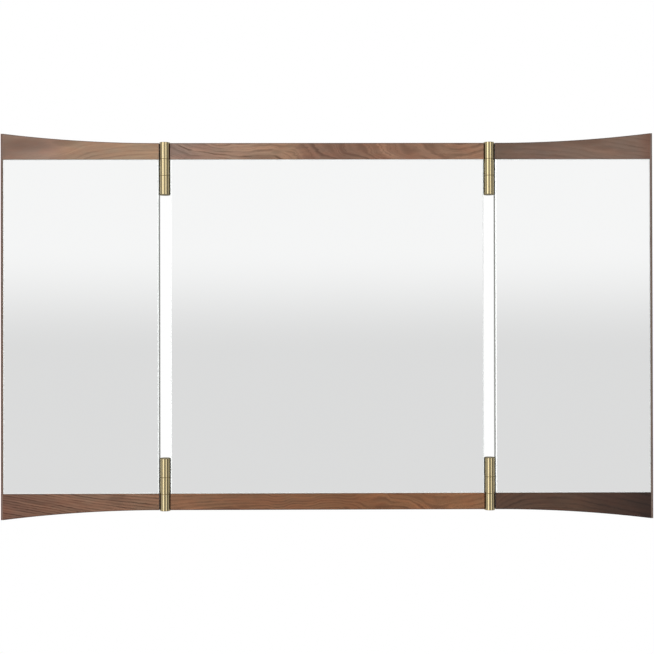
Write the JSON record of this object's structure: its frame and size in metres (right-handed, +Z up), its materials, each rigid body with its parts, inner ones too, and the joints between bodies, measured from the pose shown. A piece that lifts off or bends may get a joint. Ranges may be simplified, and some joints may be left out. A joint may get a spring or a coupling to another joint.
{
  "type": "vanity wall mirror",
  "caption": "Wall-hung vanity mirror: a fixed centre panel and curved-edged wings that swing forward on brass barrel hinges.",
  "frame": {"origin": "middle of the wall cleat's line of screw holes, on the wall's face", "axes": "+X to the viewer's right, +Y into the wall, +Z up; the viewer stands on the -Y side"},
  "size_m": [1.2, 0.0301, 0.71],
  "materials": {
    "walnut_light": "satin",
    "walnut_warm": "satin",
    "walnut_grey": "satin",
    "walnut_dark": "satin",
    "strip_grey": "satin",
    "board": "matte",
    "mirror": "polished",
    "foam_tape": "matte",
    "brass": "satin",
    "bronze": "satin",
    "steel": "satin",
    "cleat_metal": "satin",
    "rubber": "matte",
    "nylon": "matte"
  },
  "bodies": {
    "center_panel": {"center_backboard": "board", "center_top_rail": "walnut_warm", "center_bottom_rail": "walnut_warm", "center_left_edge_strip": "strip_grey", "center_right_edge_strip": "strip_grey", "center_mirror": "mirror", "center_mirror_tape": "foam_tape", "center_board_screws": "steel", "center_bumpers": "rubber", "wall_cleat": "cleat_metal", "panel_cleat": "cleat_metal", "panel_cleat_screws": "steel", "center_hinge_screws": "steel", "upper_left_fixed_leaf": "brass", "upper_left_pin": "steel", "upper_left_washers": "bronze", "upper_left_plugs": "brass", "lower_left_fixed_leaf": "brass", "lower_left_pin": "steel", "lower_left_washers": "bronze", "lower_left_plugs": "brass", "upper_right_fixed_leaf": "brass", "upper_right_pin": "steel", "upper_right_washers": "bronze", "upper_right_plugs": "brass", "lower_right_fixed_leaf": "brass", "lower_right_pin": "steel", "lower_right_washers": "bronze", "lower_right_plugs": "brass"},
    "left_wing": {"left_backboard": "board", "left_top_rail": "walnut_light", "left_bottom_rail": "walnut_warm", "left_outer_lipping": "walnut_grey", "left_edge_strip": "strip_grey", "left_mirror": "mirror", "left_mirror_tape": "foam_tape", "left_board_screws": "steel", "left_bumpers": "rubber", "left_hinge_screws": "steel", "upper_left_wing_leaf": "brass", "upper_left_sleeve": "nylon", "lower_left_wing_leaf": "brass", "lower_left_sleeve": "nylon"},
    "right_wing": {"right_backboard": "board", "right_top_rail": "walnut_grey", "right_bottom_rail": "walnut_dark", "right_outer_lipping": "walnut_grey", "right_edge_strip": "strip_grey", "right_mirror": "mirror", "right_mirror_tape": "foam_tape", "right_board_screws": "steel", "right_bumpers": "rubber", "right_hinge_screws": "steel", "upper_right_wing_leaf": "brass", "upper_right_sleeve": "nylon", "lower_right_wing_leaf": "brass", "lower_right_sleeve": "nylon"}
  },
  "joints": [
    {"name": "left_wing_hinge", "type": "hinge", "parent": "center_panel", "child": "left_wing", "pos_m": [-0.299, -0.02, -0.215], "axis": [0, 0, 1], "range_deg": [0, 90]},
    {"name": "right_wing_hinge", "type": "hinge", "parent": "center_panel", "child": "right_wing", "pos_m": [0.299, -0.02, -0.215], "axis": [0, 0, -1], "range_deg": [0, 90]}
  ]
}
